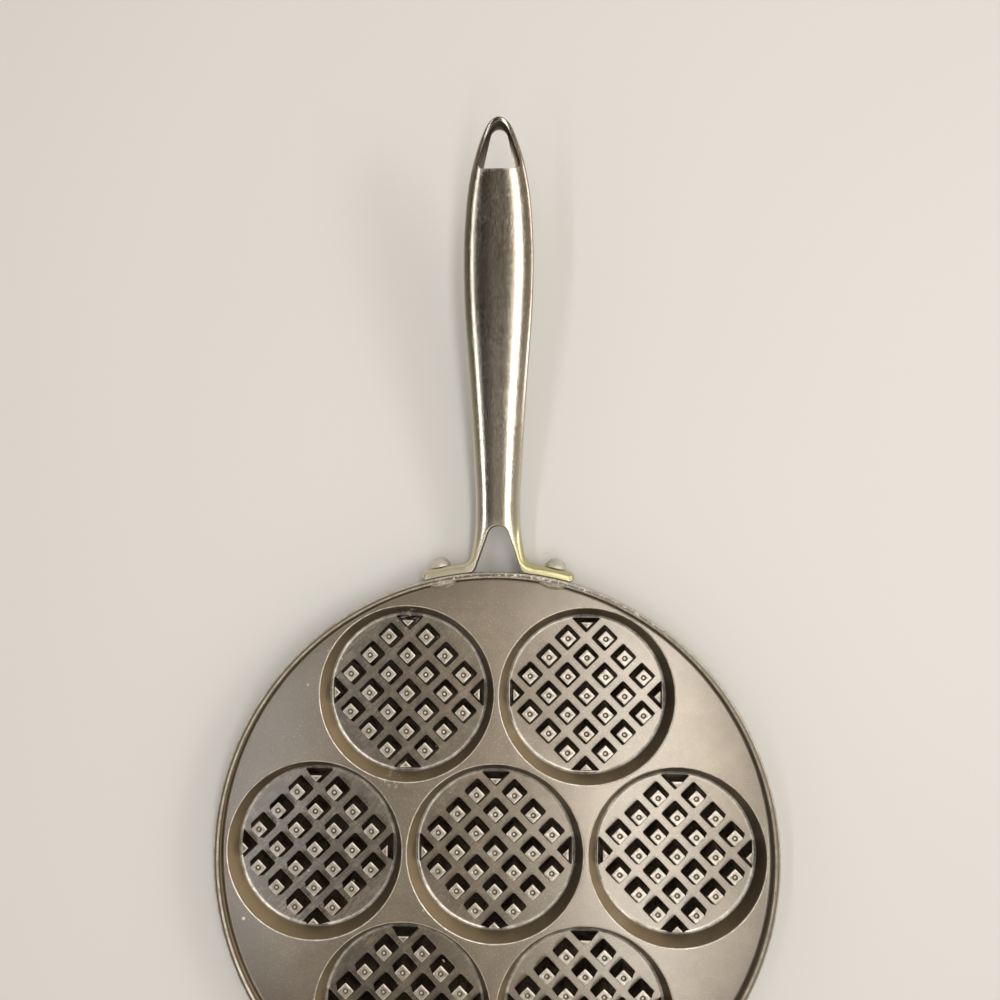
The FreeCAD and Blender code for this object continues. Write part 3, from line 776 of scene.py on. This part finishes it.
def handle_skin(h, rim_radius):
    """The pressed channel: top face, a profile carried round its edge, the hole's edge and the inner ceiling.
    Each is made for the right half and mirrored in x."""
    skin = Skin()
    plan = HandlePlan(h, rim_radius)
    patches = [(grid, 0.0, 0.0) for grid in plan.face(EDGE_ROUND, plan.top)]
    patches += [(grid, 0.0, 1.0) for grid in plan.face(h.sheet, plan.ceiling)]

    floor = plan.bottom(plan.edge[:, 1])
    chamfer = h.sheet / 5
    turns = np.radians(np.linspace(0, 90, EDGE_STEPS))
    rims = [plan.moved(EDGE_ROUND * (1 - math.sin(turn))) for turn in turns]
    inside = plan.moved(h.sheet)
    rows = [(rim, plan.top(rim)) for rim in rims]
    rows += [(plan.edge, floor + chamfer), (plan.moved(chamfer), floor), (plan.lip(0.8), floor),
             (plan.lip(1.0), floor + chamfer), (plan.lip(1.0), floor + h.sheet), (inside, floor + h.sheet),
             (inside, plan.ceiling(inside))]
    band = np.stack([raised(place, z) for place, z in rows])
    # Feet are shaded where they face the rim, and the channel all along its inside
    facing_rim = (np.arange(len(plan.edge)) > plan.turnpoint) * 1.0
    shade = column([1.0, 0.05, 0.1, 0.1, 0.1, 0.8, 1.0]) * np.ones_like(facing_rim)
    shade[0] *= facing_rim
    shade = np.concatenate([np.sin(turns)[:, None] ** 3 * facing_rim, shade])
    patches.append((band, column(np.zeros(EDGE_STEPS), [0.6, 0.8, 0.6, 0.4, 0, 0, 0]), shade))

    hole = plan.hole()
    hole = np.concatenate([hole, run((0, h.hole_bottom), hole[-1], FACE_COLUMNS)[::-1]])
    top, under = plan.top(hole), plan.ceiling(hole)
    cut = np.stack([raised(hole, z) for z in (top, (top + under) / 2, under)])
    # Painted shade darkens the hole's edge towards the inside of the channel
    patches.append((cut, column([1.0, 0.3, 0.0]), column([0.2, 0.7, 1.0])))
    for grid, wear_and_highlight, shade in patches:
        skin.patch(grid, wear_and_highlight, shade)
        skin.patch(grid * [-1, 1, 1], wear_and_highlight, shade)
    return skin


def rivet_skin(h, rim_radius, side):
    """Domed rivet turned about its axis: flat head edge, sphere cap of radius (r^2 + h^2) / 2h, and shank."""
    skin = Skin()
    seat = rim_radius + FOOT_GAP + h.foot_depth
    cap = h.rivet_proud - RIVET_EDGE
    ball = (h.rivet_radius ** 2 + cap ** 2) / (2 * cap)
    start = math.degrees(math.asin((ball - cap) / ball))
    dome = bow(0, h.rivet_proud - ball, ball, start, 90, DOME_STEPS)
    tail = rim_radius - RIVET_DEPTH - seat
    chamfer = RIVET_EDGE / 4
    profile = np.concatenate([[(0, tail), (RIVET_SHANK, tail), (RIVET_SHANK, 0),
                               (h.rivet_radius - chamfer, 0), (h.rivet_radius, chamfer)], dome])
    wear_and_highlight = column(np.zeros(3), [0.6, 0.8], np.linspace(0.6, 0, len(dome)))
    axis = rivet_axis(h, side)
    skin.patch(turned(profile, axis * seat + [0, 0, h.rivet_height], axis, RIVET_SIDES), wear_and_highlight, around=True)
    return skin


class Nodes:
    """Short way to place and join shader nodes."""

    def __init__(self, name, tree=None):
        self.material = None
        if tree is None:
            self.material = bpy.data.materials.new(name)
            self.material.use_nodes = True
            tree = self.material.node_tree
        self.tree = tree
        tree.nodes.clear()

    def join(self, socket, value):
        """Links a socket to another one or gives it a plain value."""
        if isinstance(value, bpy.types.NodeSocket):
            self.tree.links.new(value, socket)
        elif socket.type == "RGBA":
            socket.default_value = (*value[:3], 1.0)
        else:
            socket.default_value = value

    def add(self, kind, links=None, **settings):
        node = self.tree.nodes.new(kind)
        for key, value in settings.items():
            setattr(node, key, value)
        for key, value in (links or {}).items():
            self.join(node.inputs[key], value)
        return node

    def place(self):
        return self.add("ShaderNodeTexCoord").outputs["Object"]

    def axis(self, vector, name):
        return self.add("ShaderNodeSeparateXYZ", {"Vector": vector}).outputs[name]

    def stretch(self, vector, scale, turn=0.0):
        links = {"Vector": vector, "Scale": scale, "Rotation": (0.0, 0.0, turn)}
        return self.add("ShaderNodeMapping", links).outputs["Vector"]

    def mark(self, name):
        return self.add("ShaderNodeAttribute", attribute_name=name).outputs["Fac"]

    def noise(self, vector, scale=1.0, detail=3.0, roughness=0.5):
        links = {"Vector": vector, "Scale": scale, "Detail": detail, "Roughness": roughness}
        return self.add("ShaderNodeTexNoise", links).outputs["Fac"]

    def ramp(self, value, low, high, to_low=0.0, to_high=1.0):
        """Straight from to_low at low to to_high at high, and level beyond."""
        links = {"Value": value, "From Min": low, "From Max": high, "To Min": to_low, "To Max": to_high}
        return self.add("ShaderNodeMapRange", links).outputs["Result"]

    def maths(self, operation, a, b):
        return self.add("ShaderNodeMath", {0: a, 1: b}, operation=operation, use_clamp=True).outputs[0]

    def times(self, a, b):
        return self.maths("MULTIPLY", a, b)

    def plus(self, a, b):
        return self.maths("ADD", a, b)

    def most(self, a, b):
        return self.maths("MAXIMUM", a, b)

    def blend(self, share, a, b):
        """a (1 - share) + b share, as colours."""
        return self.add("ShaderNodeMix", {0: share, 6: a, 7: b}, data_type="RGBA").outputs[2]

    def layers(self, base, *coats):
        """Lays colours over a base one after the other: (share, colour)."""
        for share, colour_in in coats:
            base = self.blend(share, base, colour_in)
        return base

    def spots(self, vector, table):
        """The most of some balls, each of its strength inside its radius and falling to 0 over its edge."""
        result = 0.0
        for centre, radius, soft, strength in table:
            away = self.add("ShaderNodeVectorMath", {0: vector, 1: centre}, operation="DISTANCE")
            ball = self.ramp(away.outputs["Value"], radius, radius + soft, strength, 0.0)
            result = self.most(result, ball)
        return result

    def finish(self, colour_in, roughness, metallic, bump, strength, distance, **sockets):
        """Ends the material with a Principled shader and a bump of the given depth."""
        normal = self.add("ShaderNodeBump", {"Height": bump, "Strength": strength, "Distance": distance})
        shader = self.add("ShaderNodeBsdfPrincipled", {
            "Base Color": colour_in, "Roughness": roughness, "Metallic": metallic,
            "Normal": normal.outputs["Normal"], **sockets})
        self.add("ShaderNodeOutputMaterial", {"Surface": shader.outputs[0]})
        return self.material


def toned(colour_in, share):
    """A colour made darker or lighter."""
    return tuple(min(1.0, part * share) for part in colour_in)


def coat_material(f):
    """Warm non-stick coat: random browning, with painted shade that makes it darker to the left and near the
    rim and paler to the right, oiled walls with painted shade by their facing, a dark film between the studs
    that is partly painted shade, bare metal on worn edges with painted highlights on rounds and in the
    marks, a fine sparkle and some dried crumbs."""
    n = Nodes("waffle_coat")
    place = n.place()
    x, z = n.axis(place, "X"), n.axis(place, "Z")
    broad = n.noise(place, BROAD, 4.0, 0.6)
    mottle = n.noise(place, MOTTLE, 4.0, 0.65)
    patchy = n.noise(place, PATCHY, 4.0, 0.7)
    grain = n.noise(place, GRAIN, 2.0, 0.7)
    crust_and_shade, wear_and_highlight = n.mark("crust_and_shade"), n.mark("wear_and_highlight")

    # Coat: random broad browning plus painted shade to the left and near the rim, with a sparkle
    side = n.ramp(x, -0.13, 0.12)
    tone_and_left_shade = n.maths("SUBTRACT", n.plus(broad, 0.15), n.times(side, 0.5))
    far = n.add("ShaderNodeVectorMath", {0: place}, operation="LENGTH").outputs["Value"]

    # Oiled walls of the wells, where the crust mark is between 0.05 and 0.3, with painted shade on the walls
    # that face away from the lamps, by the X and Y of their normals
    walls = n.times(n.ramp(crust_and_shade, 0.05, 0.11), n.ramp(crust_and_shade, 0.22, 0.32, 1.0, 0.0))
    facing = n.add("ShaderNodeNewGeometry").outputs["Normal"]
    darker = n.most(n.ramp(n.axis(facing, "X"), -0.85, 0.7, 0.85, 0.0),
                    n.ramp(n.axis(facing, "Y"), -0.7, 0.1, 0.8, 0.0))

    # Slanting streaks of dirt on the left wells' floors, and the dark film between the studs, partly burnt-on
    # film and partly painted shade
    slant = n.stretch(place, (1.0, 1.0, 1.0), -math.pi / 4)
    streaks = n.ramp(n.noise(n.stretch(slant, STREAKS), 1.0, 4.0, 0.7), 0.50, 0.57)
    on_floor = n.times(n.ramp(z, 0.0030, 0.0033), n.ramp(z, 0.0036, 0.0045, 1.0, 0.0))
    left = n.ramp(x, -0.07, 0.03, 1.0, 0.0)
    dirt = n.times(n.times(on_floor, left), n.most(streaks, n.ramp(mottle, 0.42, 0.62)))
    film_and_shade = n.times(crust_and_shade, n.ramp(mottle, 0.2, 0.6, 0.85, 1.0))

    # Bare metal on worn edges, with painted highlights on rounds and in the marks, and coat flaked off the
    # rim
    bare_metal_and_highlight = n.times(n.ramp(wear_and_highlight, 0.45, 1.0), n.ramp(patchy, 0.38, 0.62, 0.4, 1.0))
    on_rim = n.times(n.ramp(z, 0.0140, 0.0160), n.ramp(wear_and_highlight, 0.05, 0.3))
    flakes = n.ramp(n.noise(place, FLAKE, 5.0, 0.75), 0.54, 0.60)
    peeled = n.times(n.times(on_rim, n.spots(place, RIM_FLAKES)), flakes)

    # Crumbs: a few cells of a scattered pattern, and scraps at two places
    crumbs = n.add("ShaderNodeTexVoronoi", {"Vector": place, "Scale": CRUMB_CELLS, "Randomness": 1.0})
    near = n.ramp(crumbs.outputs["Distance"], 0.1, 0.22, 1.0, 0.0)
    rare = n.add("ShaderNodeSeparateColor", {"Color": crumbs.outputs["Color"]}).outputs[0]
    single = n.times(n.times(near, n.ramp(rare, 0.975, 0.98)), n.ramp(side, 0.75, 0.35))
    crumb = n.most(single, n.times(n.spots(place, SCRAPS), n.ramp(patchy, 0.56, 0.62)))

    # Random browning, plus painted shade that makes the coat darker to the left and paler to the right
    base = n.layers(f.coat, (tone_and_left_shade, f.coat_brown_and_shade),
                    (n.ramp(mottle, 0.35, 0.75, 0.0, 0.35), f.coat_brown_and_shade),
                    (n.ramp(grain, 0.56, 0.75, 0.0, 0.2), f.bare_metal_and_highlight),
                    # Painted shade: the coat darker near the rim
                    (n.ramp(far, 0.112, 0.130, 0.0, 0.5), f.coat_brown_and_shade),
                    # The walls' own oiled tone, then painted shade by their facing
                    (n.times(walls, 0.85), f.oiled), (n.times(walls, darker), f.crust_and_shade),
                    # The dark film between the studs is partly painted shade
                    (n.times(dirt, 0.7), toned(f.coat_brown_and_shade, 0.65)), (film_and_shade, f.crust_and_shade),
                    # Bare metal where worn, and painted highlights
                    (bare_metal_and_highlight, f.bare_metal_and_highlight), (peeled, f.peel), (crumb, f.crumb))
    rough = n.plus(n.ramp(grain, 0.3, 0.8, f.coat_gloss - 0.08, f.coat_gloss + 0.1), n.times(film_and_shade, 0.12))
    clean = n.maths("SUBTRACT", 1.0, n.most(n.most(film_and_shade, crumb), n.times(walls, 0.75)))
    bump = n.plus(n.times(grain, 0.5), n.times(mottle, 0.3))
    return n.finish(base, rough, n.times(clean, 0.78), bump, 0.35, 0.00025,
                    **{"Specular IOR Level": n.times(clean, 0.5), "Coat Weight": clean,
                       "Coat Roughness": 0.26, "Coat IOR": 2.0})


def steel_material(f):
    """Brushed steel: streaks drawn out along the handle, smudges, a gold heat tint on the right foot, and
    painted light that makes it paler from the middle of the grip down to the neck and feet. The crust mark
    paints shade on the inside of the channel, the hole's edge and where the feet face the rim."""
    n = Nodes("brushed_steel")
    place = n.place()
    y = n.axis(place, "Y")
    # Brushing only on the grip; the feet take the patterns' middle value
    grip = n.ramp(y, 0.144, 0.160)
    fine = n.blend(grip, (0.5, 0.5, 0.5), n.noise(n.stretch(place, BRUSH_LINES), 1.0, 3.0, 0.7))
    wide = n.blend(grip, (0.45, 0.45, 0.45), n.noise(n.stretch(place, BRUSH_BANDS), 1.0, 3.0, 0.6))
    smudge = n.noise(place, SMUDGE, 4.0, 0.6)
    shade = n.mark("crust_and_shade")
    toward_tip = n.ramp(y, 0.17, 0.33, 0.0, 0.6)
    # Painted light: the steel paler from the middle of the grip down to the neck and feet
    painted_light_toward_neck = n.ramp(y, 0.26, 0.17, 0.0, 0.9)
    heat = n.times(n.spots(place, HEAT), n.ramp(smudge, 0.3, 0.65, 0.85, 1.0))
    base = n.layers(f.steel, (n.ramp(wide, 0.3, 0.7, 0.0, 0.4), toned(f.steel, 0.7)),
                    (n.times(toward_tip, n.ramp(wide, 0.3, 0.65, 0.5, 1.0)), f.smoked),
                    (n.ramp(fine, 0.45, 0.8, 0.0, 0.45), toned(f.steel, 1.35)),
                    (painted_light_toward_neck, toned(f.steel, 1.45)), (heat, f.tint),
                    (n.times(shade, 0.8), toned(f.steel, 0.12)))
    dull = n.plus(n.ramp(smudge, 0.5, 0.75, 0.0, 0.06), n.ramp(shade, 0.0, 0.3, 0.0, 0.3))
    dull = n.plus(dull, n.ramp(grip, 0.0, 1.0, 0.16, 0.0))
    rough = n.plus(n.ramp(fine, 0.3, 0.75, f.steel_gloss - 0.06, f.steel_gloss + 0.1), dull)
    lines = n.plus(n.times(fine, 0.6), n.times(wide, 0.4))
    return n.finish(base, rough, 1.0, n.times(lines, grip), 0.2, 0.00006)


def rivet_material(f):
    """Satin rivet metal with fine pits and dull smudges."""
    n = Nodes("rivet_metal")
    place = n.place()
    pits = n.noise(place, PIT, 3.0, 0.6)
    smudge = n.ramp(n.noise(place, SPECK, 3.0, 0.6), 0.35, 0.7, 0.0, 0.5)
    base = n.blend(smudge, f.rivet, toned(f.rivet, 0.6))
    return n.finish(base, n.ramp(pits, 0.3, 0.7, 0.34, 0.5), 0.8, pits, 0.25, 0.0001)


def floor_material(f):
    """Pale matt floor with a very soft change of tone."""
    n = Nodes("pale_floor")
    place = n.place()
    tone = n.ramp(n.noise(place, 2.2, 2.0), 0.3, 0.7, 0.0, 0.5)
    base = n.blend(tone, f.floor, toned(f.floor, 0.95))
    return n.finish(base, 0.9, 0.0, n.noise(place, 300.0), 0.05, 0.0002)


def dress(piece, material, slot, *nodes):
    """Gives a piece its material and its place on the frame's body in place of CAD nodes."""
    piece.data.materials.append(material)
    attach(piece, "root")
    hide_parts(*nodes)


class WAFFLE_OT_casting(bpy.types.Operator):
    """Makes the cast pan with its wells, studs, rim, skirt and bosses"""
    bl_idname = "waffle.casting"
    bl_label = "Cast Pan"

    def execute(self, context):
        scene = context.scene
        piece = casting(scene.waffle_pan, scene.waffle_handle).build("pan_casting", SHARP)
        dress(piece, coat_material(scene.waffle_finish), "pan", "pan")
        return {"FINISHED"}


class WAFFLE_OT_handle(bpy.types.Operator):
    """Makes the pressed channel handle with its legs, feet and hanging hole"""
    bl_idname = "waffle.handle"
    bl_label = "Pressed Handle"

    def execute(self, context):
        scene = context.scene
        skin = handle_skin(scene.waffle_handle, scene.waffle_pan.rim_radius)
        piece = skin.build("pressed_handle", SHARP)
        dress(piece, steel_material(scene.waffle_finish), "handle", "handle")
        return {"FINISHED"}


class WAFFLE_OT_rivets(bpy.types.Operator):
    """Makes the two domed rivets"""
    bl_idname = "waffle.rivets"
    bl_label = "Rivets"

    def execute(self, context):
        scene = context.scene
        metal = rivet_material(scene.waffle_finish)
        for side, node in ((-1, "rivet_left"), (1, "rivet_right")):
            skin = rivet_skin(scene.waffle_handle, scene.waffle_pan.rim_radius, side)
            piece = skin.build(node + "_head", RIVET_SHARP)
            dress(piece, metal, "rivet", node)
        return {"FINISHED"}


def lamp(name, place, lean, size, power, tone):
    """A soft box over the stage, its long side along the handle, leaning about that side."""
    data = bpy.data.lights.new(name, "AREA")
    data.shape = "RECTANGLE"
    data.size, data.size_y = size
    data.energy = power
    data.color = tone
    item = bpy.data.objects.new(name, data)
    bpy.context.scene.collection.objects.link(item)
    item.location = place
    item.rotation_euler = (0.0, math.radians(lean), 0.0)


def studio(world):
    """A room that is bright at the horizon and darker above, more so on the left. The camera sees the
    backdrop's plain colour in its place."""
    world.use_nodes = True
    n = Nodes("studio", world.node_tree)
    seen = n.add("ShaderNodeLightPath").outputs["Is Camera Ray"]
    way = n.add("ShaderNodeTexCoord").outputs["Generated"]
    above = n.ramp(n.axis(way, "X"), -0.2, 0.14, 0.04, 0.36)
    glow = n.ramp(n.axis(way, "Z"), 0.3, 0.9, 0.9, above)
    room = n.add("ShaderNodeBackground", {"Color": ROOM, "Strength": glow}).outputs[0]
    backdrop = n.add("ShaderNodeBackground", {"Color": BACKDROP, "Strength": 1.0}).outputs[0]
    mixed = n.add("ShaderNodeMixShader", {0: seen, 1: room, 2: backdrop})
    n.add("ShaderNodeOutputWorld", {"Surface": mixed.outputs[0]})


class WAFFLE_OT_stage(bpy.types.Operator):
    """Makes the pale floor, the soft lamps, the sky and the camera"""
    bl_idname = "waffle.stage"
    bl_label = "Stage"

    def execute(self, context):
        scene = context.scene
        mesh = bpy.data.meshes.new("floor")
        corners = FLOOR_REACH * np.array([(-1, -1), (1, -1), (1, 1), (-1, 1)])
        mesh.from_pydata(raised(corners, FLOOR_LEVEL).tolist(), [], [(0, 1, 2, 3)])
        mesh.materials.append(floor_material(scene.waffle_finish))
        floor = bpy.data.objects.new("floor", mesh)
        scene.collection.objects.link(floor)

        for settings in LAMPS:
            lamp(*settings)
        scene.world = bpy.data.worlds.new("studio")
        studio(scene.world)

        data = bpy.data.cameras.new("photo_camera")
        data.sensor_fit = "HORIZONTAL"
        data.sensor_width = SENSOR
        data.lens = LENS
        camera = bpy.data.objects.new("photo_camera", data)
        scene.collection.objects.link(camera)
        camera.location = CAMERA_PLACE
        camera.rotation_euler = tuple(math.radians(turn) for turn in CAMERA_TURN)
        scene.camera = camera
        scene.view_settings.view_transform = "Standard"
        return {"FINISHED"}


class WAFFLE_PT_sidebar(bpy.types.Panel):
    """Sizes, finishes and the building steps"""
    bl_idname = "WAFFLE_PT_sidebar"
    bl_label = "Waffle Pan"
    bl_space_type = "VIEW_3D"
    bl_region_type = "UI"
    bl_category = "Waffle Pan"

    def draw(self, context):
        scene = context.scene
        for step in STEPS:
            self.layout.operator(step.bl_idname)
        for title, group in (("Pan", scene.waffle_pan), ("Handle", scene.waffle_handle),
                             ("Finishes", scene.waffle_finish)):
            box = self.layout.box()
            box.label(text=title)
            for name in type(group).__annotations__:
                box.prop(group, name)


STEPS = (WAFFLE_OT_casting, WAFFLE_OT_handle, WAFFLE_OT_rivets, WAFFLE_OT_stage)
GROUPS = (("waffle_pan", PanSizes), ("waffle_handle", HandleSizes), ("waffle_finish", Finishes))


def register():
    for name, group in GROUPS:
        bpy.utils.register_class(group)
        setattr(bpy.types.Scene, name, bpy.props.PointerProperty(type=group))
    for item in STEPS + (WAFFLE_PT_sidebar,):
        bpy.utils.register_class(item)


def unregister():
    for item in reversed(STEPS + (WAFFLE_PT_sidebar,)):
        bpy.utils.unregister_class(item)
    for name, group in reversed(GROUPS):
        delattr(bpy.types.Scene, name)
        bpy.utils.unregister_class(group)


def main():
    register()
    bpy.ops.waffle.casting()
    bpy.ops.waffle.handle()
    bpy.ops.waffle.rivets()
    bpy.ops.waffle.stage()


if __name__ == "__main__":
    main()
